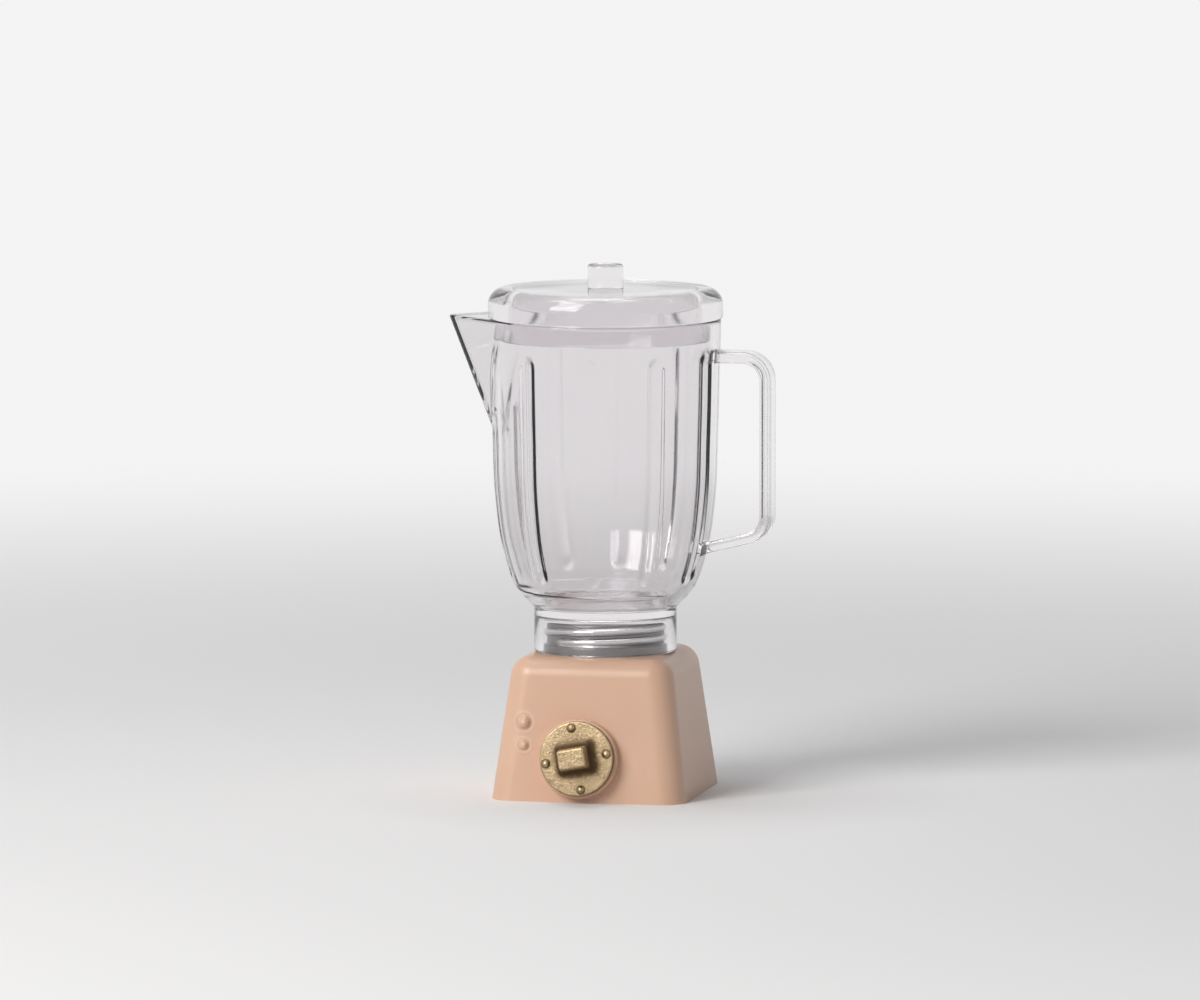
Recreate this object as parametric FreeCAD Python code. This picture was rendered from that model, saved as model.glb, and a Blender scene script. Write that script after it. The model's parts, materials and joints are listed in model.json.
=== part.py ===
import FreeCAD, Part
import math
import os

Vector = FreeCAD.Vector

# A dolls'-house toy blender. Millimetres, +Z up. The origin is the middle of the underside.
# The dial is on the front, at -Y. The spout points to -X and the handle to +X.

# Housing, a hollow square shell whose walls lean inwards
base_width = 27.4
base_depth = 27.4
base_height = 19.7
wall_lean = 7.3
corner_radius = 3.3
shoulder_radius = 3.0
housing_wall = 1.4
housing_top = 1.6
cavity_corner_radius = 1.9
cavity_shoulder_radius = 1.6

# Base plate, let into the underside of the housing
plate_thickness = 1.2
plate_rim = 1.1
plate_gap = 0.15

# Base screws, one in a pillar in each corner
pillar_radius = 1.9
pillar_height = 7.6
pillar_inset = 3.6
screw_radius = 0.8
screw_length = 5.2
screw_head_radius = 1.5
screw_head_sink = 0.15
screw_gap = 0.03
recess_width = 0.4
recess_depth = 0.5
# How far a recess reaches, as a share of its screw's head radius
recess_share = 0.6

# Dial, with its plate, grip, rivets, spindle, spring washer and clip
dial_x = -0.9
dial_height = 6.0
dial_turn = 10.5
pad_radius = 5.5
pad_height = 1.45
pad_edge_radius = 0.3
dial_gap = 0.12
dial_plate_radius = 5.15
dial_plate_thickness = 0.85
dial_plate_edge = 0.22
mound_width = 6.1
mound_depth = 5.3
mound_height = 0.95
mound_corner_radius = 1.7
# Mound outline: how far in towards the grip's foot, and how far up, as shares of the whole
mound_steps = [(0.0, -0.1), (0.45, 0.16), (0.8, 0.5), (1.0, 1.0)]
grip_width = 3.75
grip_depth = 2.65
grip_height = 3.5
grip_flare = 0.3
grip_edge_radius = 0.3
grip_corner_radius = 0.4
tenon_side = 2.0
tenon_gap = 0.03
rivet_circle = 4.3
rivet_head_radius = 0.58
rivet_head_height = 0.42
rivet_shank_radius = 0.3
rivet_count = 4
spindle_radius = 1.1
spindle_gap = 0.05
spindle_tail = 0.6
washer_radius = 2.3
washer_thickness = 0.25
washer_dish = 0.25
clip_radius = 2.0
clip_thickness = 0.4
clip_groove_depth = 0.3
clip_gap = 0.04
clip_slot = 1.3

# Two raised buttons moulded in the front wall
button_x = -8.8
upper_button_height = 10.8
upper_button_radius = 0.85
lower_button_height = 7.7
lower_button_radius = 0.66
# Shares of a button's radius
button_sink = 0.2
button_flare = 0.5
button_foot = 1.6

# Socket, the threaded metal boss that the jug stands over
socket_radius = 8.05
socket_height = 4.5
socket_top = 1.2
socket_bore_radius = 6.8
socket_flange_height = 1.25
socket_edge = 0.3
thread_depth = 0.45
thread_pitch = 1.46
thread_turns = 1.4
thread_root_width = 1.1
thread_crest_width = 0.5
# Where the thread's ridge begins: its height over the flange, and its place round the boss
thread_start = 0.52
thread_start_turn = 225.0
thread_sink = 0.3
socket_pillar_radius = 2.2
socket_screw_radius = 0.9
socket_screw_depth = 2.4
socket_screw_head_radius = 1.8
socket_screw_head_height = 1.1
socket_screw_head_edge = 0.4

# Jug, a clear fluted bowl with a collar below it
collar_gap = 0.15
collar_wall = 1.22
collar_height = 6.2
collar_room = 0.6
floor_thickness = 1.5
jug_wall = 1.3
neck_ledge = 0.15
belly_radius = 15.65
rim_radius = 16.0
jug_height = 46.2
# Bowl outline: how far in from the belly, and how far above the neck
bowl_turns = [(3.4, 2.5), (1.55, 7.6), (0.35, 15.4), (0.0, 24.0)]
flute_count = 10
flute_phase = 21.0
flute_radius = 1.34
flute_depth = 0.45
flute_top_drop = 5.9
flute_bottom_rise = 5.2
spout_flute_drop = 14.0

# Spout, a V-shaped lip that leans out of the wall
spout_reach = 22.1
spout_nose_radius = 1.9
spout_height = 16.4

# Handle, a flat bar bent into a loop
handle_width = 5.0
handle_thickness = 1.5
handle_reach = 23.6
handle_top_drop = 5.1
handle_foot_radius = 13.0
handle_foot_height = 8.1
handle_foot_rise = 2.4
handle_bend_radius = 3.2
handle_edge_radius = 0.45

# Lid, a round cap with a skirt that plugs the jug
lid_radius = 16.25
lid_height = 4.1
lid_shoulder_radius = 2.3
lid_inner_shoulder_radius = 1.0
lid_wall = 1.2
skirt_depth = 3.0
skirt_wall = 1.1
skirt_gap = 0.25

# Lid knob, a plug cemented into the middle of the lid
knob_radius = 2.47
knob_height = 3.3
knob_edge_radius = 0.4
spigot_radius = 1.5
spigot_gap = 0.02

# How far a cutting shape runs past what it cuts
cut_past = 0.5

# Places worked out from the sizes above
lean_slope = math.tan(math.radians(wall_lean))
seat_z = base_height
collar_bore = socket_radius + thread_depth + collar_gap
collar_radius = collar_bore + collar_wall
neck_z = seat_z + collar_height
socket_top_z = seat_z + socket_height
floor_z = socket_top_z + collar_room + floor_thickness
rim_z = seat_z + jug_height
lid_top_z = rim_z + lid_height
dial_plate_back = pad_height + dial_gap
dial_plate_front = dial_plate_back + dial_plate_thickness
wall_back = housing_wall * math.cos(math.radians(wall_lean))


def rounded_rectangle(half_x, half_y, radius, z):
    """A level wire with four sides and four round corners."""
    corners = [(1, 1, 0), (-1, 1, 90), (-1, -1, 180), (1, -1, 270)]
    edges = []
    ends = []
    for sign_x, sign_y, start in corners:
        centre = Vector(sign_x * (half_x - radius), sign_y * (half_y - radius), z)
        points = []
        for turn in (0, 45, 90):
            angle = math.radians(start + turn)
            points.append(centre + Vector(radius * math.cos(angle), radius * math.sin(angle), 0))
        edges.append(Part.Arc(*points).toShape())
        ends.append((points[0], points[2]))
    for number in range(4):
        edges.append(Part.LineSegment(ends[number][1], ends[(number + 1) % 4][0]).toShape())
    return Part.Wire(Part.__sortEdges__(edges))


def leaning_block(inset, height, corner, shoulder):
    """A block with rounded corners and top, set in by inset from the housing's leaning walls."""
    wires = []
    for z in (0.0, height):
        half_x = base_width / 2 - z * lean_slope - inset
        half_y = base_depth / 2 - z * lean_slope - inset
        corners = [(1, 1), (-1, 1), (-1, -1), (1, -1), (1, 1)]
        wires.append(Part.makePolygon([Vector(half_x * x, half_y * y, z) for x, y in corners]))
    block = Part.makeLoft(wires, True, True)
    upright = [e for e in block.Edges if e.BoundBox.ZLength > height / 2]
    block = block.makeFillet(corner, upright)
    return block.makeFillet(shoulder, edges_at_height(block, height))


def edges_at_height(shape, z, reach=0.01):
    """The edges of a shape that lie wholly in a level plane."""
    return [e for e in shape.Edges if abs(e.BoundBox.ZMin - z) < reach and abs(e.BoundBox.ZMax - z) < reach]


def prism(wire, height):
    return Part.Face(wire).extrude(Vector(0, 0, height))


def turned(points):
    """A solid turned about Z from (radius, z) points."""
    outline = [Vector(r, 0, z) for r, z in points + points[:1]]
    return Part.Face(Part.makePolygon(outline)).revolve(Vector(0, 0, 0), Vector(0, 0, 1), 360)


def on_front_wall(x, z, turn=0.0):
    """Where local Z leaves the front wall squarely, at a height z."""
    place = Vector(x, z * lean_slope - base_depth / 2, z)
    facing = FreeCAD.Rotation(Vector(1, 0, 0), 90 - wall_lean)
    return FreeCAD.Placement(place, facing.multiply(FreeCAD.Rotation(Vector(0, 0, 1), turn)))


def placed(shape, placement):
    moved = shape.copy()
    moved.Placement = placement.multiply(moved.Placement)
    return moved


def cross_recess(width, depth, reach):
    """The bars of a cross-head recess, standing on z = 0."""
    bar = Part.makeBox(2 * reach, width, depth, Vector(-reach, -width / 2, 0))
    across = Part.makeBox(width, 2 * reach, depth, Vector(-width / 2, -reach, 0))
    return bar.fuse(across).removeSplitter()


def pillar_places():
    """The four corner places that the base screws share, by name."""
    half_x = base_width / 2 - pillar_inset
    half_y = base_depth / 2 - pillar_inset
    return {
        "front_left": (-half_x, -half_y),
        "front_right": (half_x, -half_y),
        "back_left": (-half_x, half_y),
        "back_right": (half_x, half_y),
    }


def button(radius):
    """A low dome with a soft flare round its foot, on a disc sunk in the wall."""
    sunk = housing_wall / 2
    disc = Part.makeCylinder(button_foot * radius, sunk, Vector(0, 0, -sunk))
    dome = disc.fuse(Part.makeSphere(radius, Vector(0, 0, -button_sink * radius)))
    foot = [e for e in edges_at_height(dome, 0.0) if e.Curve.Radius < radius]
    return dome.makeFillet(button_flare * radius, foot)


def make_housing():
    outer = leaning_block(0.0, base_height, corner_radius, shoulder_radius)
    cavity_top = base_height - housing_top
    inner = leaning_block(housing_wall, cavity_top, cavity_corner_radius, cavity_shoulder_radius)
    pad = Part.makeCylinder(pad_radius, pad_height + housing_wall / 2, Vector(0, 0, -housing_wall / 2))
    pad = pad.makeFillet(pad_edge_radius, edges_at_height(pad, pad_height))
    body = outer.fuse([
        placed(pad, on_front_wall(dial_x, dial_height)),
        placed(button(upper_button_radius), on_front_wall(button_x, upper_button_height)),
        placed(button(lower_button_radius), on_front_wall(button_x, lower_button_height)),
    ])
    body = body.cut(inner)
    pillars = []
    holes = []
    for x, y in pillar_places().values():
        foot = Vector(x, y, plate_thickness)
        pillars.append(Part.makeCylinder(pillar_radius, pillar_height, foot))
        holes.append(Part.makeCylinder(screw_radius + screw_gap, screw_length + screw_gap, foot))
    body = body.fuse(pillars).cut(holes)
    half_x, half_y = base_width / 2 - plate_rim, base_depth / 2 - plate_rim
    rebate = prism(rounded_rectangle(half_x, half_y, corner_radius - plate_rim, 0.0), plate_thickness)
    bore_back = housing_wall + cut_past
    bore = Part.makeCylinder(
        spindle_radius + spindle_gap, bore_back + pad_height + cut_past, Vector(0, 0, -bore_back)
    )
    screw_hole = Part.makeCylinder(
        socket_screw_radius + screw_gap, housing_top + 2 * cut_past, Vector(0, 0, cavity_top - cut_past)
    )
    body = body.cut([rebate, placed(bore, on_front_wall(dial_x, dial_height)), screw_hole])
    return body.removeSplitter()


def screw_with_sunk_head(x, y):
    """A cross-head screw, head down, flush in the underside of the base plate."""
    low = screw_head_sink
    neck = low + screw_head_radius - screw_radius
    shape = turned([
        (0, low), (screw_head_radius, low), (screw_radius, neck),
        (screw_radius, plate_thickness + screw_length - screw_radius), (0, plate_thickness + screw_length),
    ])
    recess = cross_recess(recess_width, recess_depth, screw_head_radius * recess_share)
    recess.translate(Vector(0, 0, low))
    shape = shape.cut(recess)
    shape.translate(Vector(x, y, 0))
    return shape


def make_base_plate():
    margin = plate_rim + plate_gap
    plate = prism(
        rounded_rectangle(base_width / 2 - margin, base_depth / 2 - margin, corner_radius - margin, 0.0),
        plate_thickness,
    )
    holes = []
    for x, y in pillar_places().values():
        head = screw_head_radius + screw_gap
        shank = screw_radius + screw_gap
        hole = turned([
            (0, 0), (head, 0), (head, screw_head_sink), (shank, screw_head_sink + head - shank),
            (shank, plate_thickness), (0, plate_thickness),
        ])
        hole.translate(Vector(x, y, 0))
        holes.append(hole)
    return plate.cut(holes)


def make_dial_plate():
    back, front = dial_plate_back, dial_plate_front
    disc = Part.makeCylinder(dial_plate_radius, dial_plate_thickness, Vector(0, 0, back))
    disc = disc.makeFillet(dial_plate_edge, edges_at_height(disc, front))
    # The mound curves up from the disc to the foot of the grip
    sections = []
    foot_x, foot_y = grip_width / 2 + grip_flare, grip_depth / 2 + grip_flare
    for share, rise in mound_steps:
        half_x = mound_width / 2 + (foot_x - mound_width / 2) * share
        half_y = mound_depth / 2 + (foot_y - mound_depth / 2) * share
        corner = mound_corner_radius + (grip_corner_radius - mound_corner_radius) * share
        sections.append(rounded_rectangle(half_x, half_y, corner, front + mound_height * rise))
    mound = Part.makeLoft(sections, True, False)
    hole = tenon_side / 2 + tenon_gap
    tenon_hole = Part.makeBox(
        2 * hole, 2 * hole, dial_plate_thickness + mound_height + 2 * cut_past,
        Vector(-hole, -hole, back - cut_past),
    )
    shape = disc.fuse(mound).cut(tenon_hole)
    holes = []
    for x, y in rivet_places():
        low = Vector(x, y, back - cut_past)
        holes.append(Part.makeCylinder(rivet_shank_radius, dial_plate_thickness + 2 * cut_past, low))
    return placed(shape.cut(holes).removeSplitter(), on_front_wall(dial_x, dial_height, dial_turn))


def rivet_places():
    places = []
    for number in range(rivet_count):
        angle = 2 * math.pi * number / rivet_count
        places.append((rivet_circle * math.cos(angle), rivet_circle * math.sin(angle)))
    return places


def make_rivet(x, y):
    """A round-headed pin through the dial plate."""
    rise, half = rivet_head_height, rivet_head_radius
    ball = (half * half + rise * rise) / (2 * rise)
    head = Part.makeSphere(ball, Vector(0, 0, dial_plate_front + rise - ball))
    head = head.common(Part.makeCylinder(half + cut_past, rise, Vector(0, 0, dial_plate_front)))
    shank = Part.makeCylinder(rivet_shank_radius, dial_plate_thickness, Vector(0, 0, dial_plate_back))
    pin = head.fuse(shank).removeSplitter()
    pin.translate(Vector(x, y, 0))
    return placed(pin, on_front_wall(dial_x, dial_height, dial_turn))


def clip_place():
    """The local height of the clip's front face, just behind the dished washer."""
    return -wall_back - washer_thickness - washer_dish - clip_gap


def make_dial_knob():
    """The grip, its square tenon through the dial plate, and the spindle behind it."""
    foot = dial_plate_front + mound_height
    top = dial_plate_front + grip_height
    foot_x, foot_y = grip_width / 2 + grip_flare, grip_depth / 2 + grip_flare
    low = rounded_rectangle(foot_x, foot_y, grip_corner_radius, foot)
    high = rounded_rectangle(grip_width / 2, grip_depth / 2, grip_corner_radius, top)
    grip = Part.makeLoft([low, high], True, True)
    grip = grip.makeFillet(grip_edge_radius, edges_at_height(grip, top))
    tenon_place = Vector(-tenon_side / 2, -tenon_side / 2, dial_plate_back)
    tenon = Part.makeBox(tenon_side, tenon_side, foot - dial_plate_back, tenon_place)
    clip_front = clip_place()
    tail = clip_front - clip_thickness - spindle_tail
    spindle = Part.makeCylinder(spindle_radius, dial_plate_back - tail, Vector(0, 0, tail))
    groove_height = clip_thickness + 2 * clip_gap
    groove_low = clip_front - clip_thickness - clip_gap
    ring = Part.makeCylinder(spindle_radius + cut_past, groove_height, Vector(0, 0, groove_low))
    core = Part.makeCylinder(spindle_radius - clip_groove_depth, groove_height, Vector(0, 0, groove_low))
    spindle = spindle.cut(ring.cut(core))
    shape = grip.fuse([tenon, spindle]).removeSplitter()
    return placed(shape, on_front_wall(dial_x, dial_height, dial_turn))


def make_spring_washer():
    """A dished washer that presses on the inside of the front wall."""
    inner = spindle_radius + spindle_gap
    wall = -wall_back
    shape = turned([
        (washer_radius, wall), (washer_radius, wall - washer_thickness),
        (inner, wall - washer_thickness - washer_dish), (inner, wall - washer_dish),
    ])
    return placed(shape, on_front_wall(dial_x, dial_height))


def make_clip():
    """The open ring that snaps into the spindle's groove."""
    front = clip_place()
    inner = spindle_radius - clip_groove_depth + clip_gap
    ring = Part.makeCylinder(clip_radius, clip_thickness, Vector(0, 0, front - clip_thickness))
    low = front - clip_thickness - cut_past
    cut_height = clip_thickness + 2 * cut_past
    bore = Part.makeCylinder(inner, cut_height, Vector(0, 0, low))
    slot = Part.makeBox(clip_radius + cut_past, clip_slot, cut_height, Vector(0, -clip_slot / 2, low))
    return placed(ring.cut([bore, slot]), on_front_wall(dial_x, dial_height, dial_turn))


def make_socket():
    """The metal boss, with an outside thread, that locates the jug."""
    flange_top = seat_z + socket_flange_height
    crest = socket_radius + thread_depth
    shape = turned([
        (0, seat_z), (crest, seat_z), (crest, flange_top), (socket_radius, flange_top + socket_edge),
        (socket_radius, socket_top_z - socket_edge), (socket_radius - socket_edge, socket_top_z),
        (0, socket_top_z),
    ])
    foot = Vector(0, 0, seat_z)
    room = Part.makeCylinder(socket_bore_radius, socket_height - socket_top, foot)
    pillar = Part.makeCylinder(socket_pillar_radius, socket_height - socket_top, foot)
    hole = Part.makeCylinder(socket_screw_radius + screw_gap, socket_screw_depth + screw_gap, foot)
    shape = shape.cut([room.cut(pillar), hole])
    helix_z = flange_top + thread_start
    helix = Part.makeHelix(thread_pitch, thread_pitch * thread_turns, socket_radius)
    outline = Part.makePolygon([
        Vector(socket_radius - thread_sink, 0, -thread_root_width / 2),
        Vector(socket_radius, 0, -thread_root_width / 2),
        Vector(crest, 0, -thread_crest_width / 2),
        Vector(crest, 0, thread_crest_width / 2),
        Vector(socket_radius, 0, thread_root_width / 2),
        Vector(socket_radius - thread_sink, 0, thread_root_width / 2),
        Vector(socket_radius - thread_sink, 0, -thread_root_width / 2),
    ])
    ridge = Part.Wire(helix.Edges).makePipeShell([outline], True, True)
    ridge.translate(Vector(0, 0, helix_z))
    shape = shape.fuse(ridge).removeSplitter()
    shape.rotate(Vector(0, 0, 0), Vector(0, 0, 1), thread_start_turn)
    return shape


def make_socket_screw():
    """The pan-head screw that holds the socket from inside the housing."""
    under = base_height - housing_top
    head_low = under - socket_screw_head_height
    shape = turned([
        (0, head_low), (socket_screw_head_radius - socket_screw_head_edge, head_low),
        (socket_screw_head_radius, head_low + socket_screw_head_edge),
        (socket_screw_head_radius, under), (socket_screw_radius, under),
        (socket_screw_radius, seat_z + socket_screw_depth), (0, seat_z + socket_screw_depth),
    ])
    recess = cross_recess(recess_width, recess_depth, socket_screw_head_radius * recess_share)
    recess.translate(Vector(0, 0, head_low))
    return shape.cut(recess)


def bowl_curve(offset):
    """The bowl's outline in the XZ plane, moved out by offset (in when it is negative)."""
    points = [Vector(collar_radius + neck_ledge, 0, neck_z)]
    for inset, rise in bowl_turns:
        points.append(Vector(belly_radius - inset, 0, neck_z + rise))
    points.append(Vector(rim_radius, 0, rim_z))
    outline = Part.BSplineCurve()
    outline.interpolate(points)
    moved = []
    for point in points:
        tangent = outline.tangent(outline.parameter(point))[0]
        outwards = Vector(tangent.z, 0, -tangent.x).normalize()
        moved.append(point + outwards * offset)
    moved[-1].z = rim_z
    curve = Part.BSplineCurve()
    curve.interpolate(moved)
    return curve


def turned_bowl(curve, low_points):
    """A solid turned from a bowl curve, closed by points along its foot."""
    start = curve.value(curve.FirstParameter)
    foot = [Vector(r, 0, z) for r, z in low_points] + [start]
    top = [curve.value(curve.LastParameter), Vector(0, 0, rim_z), foot[0]]
    edges = [curve.toShape()] + Part.makePolygon(foot).Edges + Part.makePolygon(top).Edges
    face = Part.Face(Part.Wire(Part.__sortEdges__(edges)))
    return face.revolve(Vector(0, 0, 0), Vector(0, 0, 1), 360)


def spout_prism(inset):
    """The leaning V of the spout, set in from its outside by inset. Its sides run tangent to the rim."""
    nose_radius = spout_nose_radius - inset
    centre = spout_reach - spout_nose_radius
    wall_radius = rim_radius - inset
    sine = (rim_radius - spout_nose_radius) / centre
    cosine = math.sqrt(1 - sine * sine)
    nose_x, nose_y = centre + nose_radius * sine, nose_radius * cosine
    root_x, root_y = wall_radius * sine, wall_radius * cosine
    nose = Part.Arc(
        Vector(-nose_x, nose_y, 0), Vector(-centre - nose_radius, 0, 0), Vector(-nose_x, -nose_y, 0)
    )
    sides = Part.makePolygon([
        Vector(-nose_x, -nose_y, 0), Vector(-root_x, -root_y, 0), Vector(-root_x, root_y, 0),
        Vector(-nose_x, nose_y, 0),
    ])
    wire = Part.Wire(Part.__sortEdges__([nose.toShape()] + sides.Edges))
    lean = Vector(-(spout_reach - belly_radius), 0, spout_height)
    wire.translate(Vector(0, 0, rim_z) - lean)
    return Part.Face(wire).extrude(lean)


def parameter_at_height(curve, z):
    """Where on a rising curve the height is z, found by halving."""
    low, high = curve.FirstParameter, curve.LastParameter
    halvings = 40
    for _ in range(halvings):
        middle = (low + high) / 2
        if curve.value(middle).z < z:
            low = middle
        else:
            high = middle
    return low


def flute(path_offset, radius, top_drop):
    """A round-ended bar that follows the bowl's outline, for one flute."""
    curve = bowl_curve(path_offset)
    foot = parameter_at_height(curve, neck_z + flute_bottom_rise)
    top = parameter_at_height(curve, rim_z - top_drop)
    start = curve.value(foot)
    circle = Part.Wire([Part.Circle(start, curve.tangent(foot)[0], radius).toShape()])
    bar = Part.Wire([curve.toShape(foot, top)]).makePipeShell([circle], True, False)
    return [bar, Part.makeSphere(radius, start), Part.makeSphere(radius, curve.value(top))]


def flute_set(path_offset, radius):
    """One flute repeated round the bowl, each ending below the rim, or below the spout beside it."""
    pitch = 360.0 / flute_count
    solids = []
    for number in range(flute_count):
        angle = flute_phase + pitch * number
        beside_spout = abs(angle % 360 - 180) < pitch
        top_drop = spout_flute_drop if beside_spout else flute_top_drop
        for piece in flute(path_offset, radius, top_drop):
            piece.rotate(Vector(0, 0, 0), Vector(0, 0, 1), angle)
            solids.append(piece)
    return solids


def make_jug_outside():
    curve = bowl_curve(0.0)
    bowl = turned_bowl(curve, [(0, seat_z), (collar_radius, seat_z), (collar_radius, neck_z)])
    return bowl.fuse(spout_prism(0.0))


def make_jug():
    outside = make_jug_outside()
    curve = bowl_curve(-jug_wall)
    start = curve.value(curve.FirstParameter)
    cavity = turned_bowl(curve, [(0, floor_z), (start.x - (start.z - floor_z), floor_z)])
    cavity = cavity.fuse(spout_prism(jug_wall))
    bore = Part.makeCylinder(collar_bore, socket_top_z + collar_room - seat_z, Vector(0, 0, seat_z))
    shell = outside.cut([cavity, bore])
    groove_out = flute_radius - flute_depth
    ribs = Part.Compound(flute_set(groove_out, flute_radius + jug_wall)).common(outside)
    grooves = flute_set(groove_out, flute_radius)
    return shell.fuse(ribs.Solids).cut(grooves).removeSplitter()


def handle_path():
    """The middle line of the handle's loop: two arms, a grip, and a bend at each corner."""
    arm_z = rim_z - handle_top_drop
    grip_x = handle_reach - handle_thickness / 2
    points = [
        Vector(rim_radius - jug_wall, 0, arm_z),
        Vector(grip_x, 0, arm_z),
        Vector(grip_x, 0, neck_z + handle_foot_height + handle_foot_rise),
        Vector(handle_foot_radius, 0, neck_z + handle_foot_height),
    ]
    edges = []
    start = points[0]
    for number in (1, 2):
        before, corner, after = points[number - 1], points[number], points[number + 1]
        back = (before - corner).normalize()
        on = (after - corner).normalize()
        half = math.acos(max(-1.0, min(1.0, back.dot(on)))) / 2
        run = handle_bend_radius / math.tan(half)
        enter, leave = corner + back * run, corner + on * run
        middle = (back + on).normalize()
        bend = corner + middle * (handle_bend_radius / math.sin(half) - handle_bend_radius)
        edges.append(Part.LineSegment(start, enter).toShape())
        edges.append(Part.Arc(enter, bend, leave).toShape())
        start = leave
    edges.append(Part.LineSegment(start, points[-1]).toShape())
    return Part.Wire(edges)


def make_handle(jug_outside):
    half_width, half_bar = handle_width / 2, handle_thickness / 2
    section = rounded_rectangle(half_bar, half_width, handle_edge_radius, 0.0)
    path = handle_path()
    start = path.Edges[0].valueAt(path.Edges[0].FirstParameter)
    # Level section turned to face along the upper arm
    section.rotate(Vector(0, 0, 0), Vector(0, 1, 0), 90)
    section.translate(start)
    loop = path.makePipeShell([section], True, False)
    return loop.cut(jug_outside)


def corner_arc(x, z, radius):
    """A quarter circle in the XZ plane about (x, z), from level to upright."""
    slant = radius * math.sqrt(0.5)
    ends = [Vector(x, 0, z + radius), Vector(x + slant, 0, z + slant), Vector(x + radius, 0, z)]
    return Part.Arc(*ends).toShape()


def make_lid():
    """Cap and skirt, turned in one piece, with a hole for the knob's spigot."""
    skirt_out = rim_radius - jug_wall - skirt_gap
    skirt_in = skirt_out - skirt_wall
    inside_z = lid_top_z - lid_wall
    hole = spigot_radius + spigot_gap
    shoulder_x, shoulder_z = lid_radius - lid_shoulder_radius, lid_top_z - lid_shoulder_radius
    inner_x, inner_z = skirt_in - lid_inner_shoulder_radius, inside_z - lid_inner_shoulder_radius
    outside = Part.makePolygon([
        Vector(lid_radius, 0, shoulder_z), Vector(lid_radius, 0, rim_z), Vector(skirt_out, 0, rim_z),
        Vector(skirt_out, 0, rim_z - skirt_depth), Vector(skirt_in, 0, rim_z - skirt_depth),
        Vector(skirt_in, 0, inner_z),
    ])
    middle = Part.makePolygon([
        Vector(inner_x, 0, inside_z), Vector(hole, 0, inside_z), Vector(hole, 0, lid_top_z),
        Vector(shoulder_x, 0, lid_top_z),
    ])
    arcs = [
        corner_arc(shoulder_x, shoulder_z, lid_shoulder_radius),
        corner_arc(inner_x, inner_z, lid_inner_shoulder_radius),
    ]
    face = Part.Face(Part.Wire(Part.__sortEdges__(outside.Edges + middle.Edges + arcs)))
    return face.revolve(Vector(0, 0, 0), Vector(0, 0, 1), 360)


def make_lid_knob():
    knob = Part.makeCylinder(knob_radius, knob_height, Vector(0, 0, lid_top_z))
    knob = knob.makeFillet(knob_edge_radius, edges_at_height(knob, lid_top_z + knob_height))
    spigot = Part.makeCylinder(spigot_radius, lid_wall, Vector(0, 0, lid_top_z - lid_wall))
    return knob.fuse(spigot).removeSplitter()


def make_all():
    nodes = {
        "base_housing": make_housing(),
        "base_plate": make_base_plate(),
        "dial_plate": make_dial_plate(),
        "dial_knob": make_dial_knob(),
        "dial_spring_washer": make_spring_washer(),
        "dial_clip": make_clip(),
        "jug_socket": make_socket(),
        "socket_screw": make_socket_screw(),
        "jug": make_jug(),
        "jug_handle": make_handle(make_jug_outside()),
        "lid": make_lid(),
        "lid_knob": make_lid_knob(),
    }
    for name, (x, y) in pillar_places().items():
        nodes["base_screw_" + name] = screw_with_sunk_head(x, y)
    for number, (x, y) in enumerate(rivet_places()):
        nodes["dial_rivet_%d" % (number + 1)] = make_rivet(x, y)
    return nodes


def export(nodes):
    os.makedirs("parts", exist_ok=True)
    for name, shape in nodes.items():
        solids = shape.Solids
        whole = solids[0] if len(solids) == 1 else Part.Compound(solids)
        whole.exportStep("parts/%s.step" % name)
        box = whole.BoundBox
        print("%-24s solids %d valid %s volume %9.3f  x %.2f %.2f  y %.2f %.2f  z %.2f %.2f" % (
            name, len(solids), whole.isValid(), whole.Volume,
            box.XMin, box.XMax, box.YMin, box.YMax, box.ZMin, box.ZMax,
        ))


export(make_all())
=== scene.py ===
import bmesh
import bpy
import json
import math
from mathutils import Matrix, Vector

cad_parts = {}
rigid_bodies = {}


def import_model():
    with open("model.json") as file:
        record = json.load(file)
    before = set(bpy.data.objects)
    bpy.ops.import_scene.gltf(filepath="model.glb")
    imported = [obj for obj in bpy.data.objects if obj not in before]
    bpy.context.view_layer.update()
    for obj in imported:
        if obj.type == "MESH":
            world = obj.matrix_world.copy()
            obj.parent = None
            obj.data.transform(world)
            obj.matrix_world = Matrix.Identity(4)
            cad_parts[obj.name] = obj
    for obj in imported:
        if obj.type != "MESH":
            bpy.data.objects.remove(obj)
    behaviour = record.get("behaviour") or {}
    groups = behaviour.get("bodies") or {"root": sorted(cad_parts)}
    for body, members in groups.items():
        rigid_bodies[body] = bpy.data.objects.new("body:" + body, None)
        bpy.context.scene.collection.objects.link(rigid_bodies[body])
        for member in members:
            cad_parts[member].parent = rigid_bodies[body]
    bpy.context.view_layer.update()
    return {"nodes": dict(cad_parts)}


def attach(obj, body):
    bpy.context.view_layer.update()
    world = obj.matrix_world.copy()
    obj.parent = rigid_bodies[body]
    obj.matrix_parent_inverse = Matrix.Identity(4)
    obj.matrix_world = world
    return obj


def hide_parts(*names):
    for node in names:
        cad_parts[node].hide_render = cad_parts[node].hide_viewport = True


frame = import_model()

# The toy blender's looks. Sizes are in millimetres here, as in its drawings, and MM makes them metres.
MM = 0.001

# Base, as drawn
SEAT_Z = 19.7
WALL_LEAN = math.radians(7.3)
BASE_HALF = 13.7
BUTTON_X = -8.8
# Height and radius of each button
BUTTONS = [(10.8, 0.85), (7.7, 0.66)]

# Dial, in its own frame: Z leaves the front wall squarely
DIAL_PLACE = Vector((-0.9, 6.0 * math.tan(WALL_LEAN) - BASE_HALF, 6.0))
DIAL_TURN = math.radians(10.5)
GRIP_HALF_WIDTH = 1.88
GRIP_HALF_DEPTH = 1.33
GRIP_FLARE = 0.3
RIVET_CIRCLE = 4.3
RIVET_RADIUS = 0.58

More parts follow.
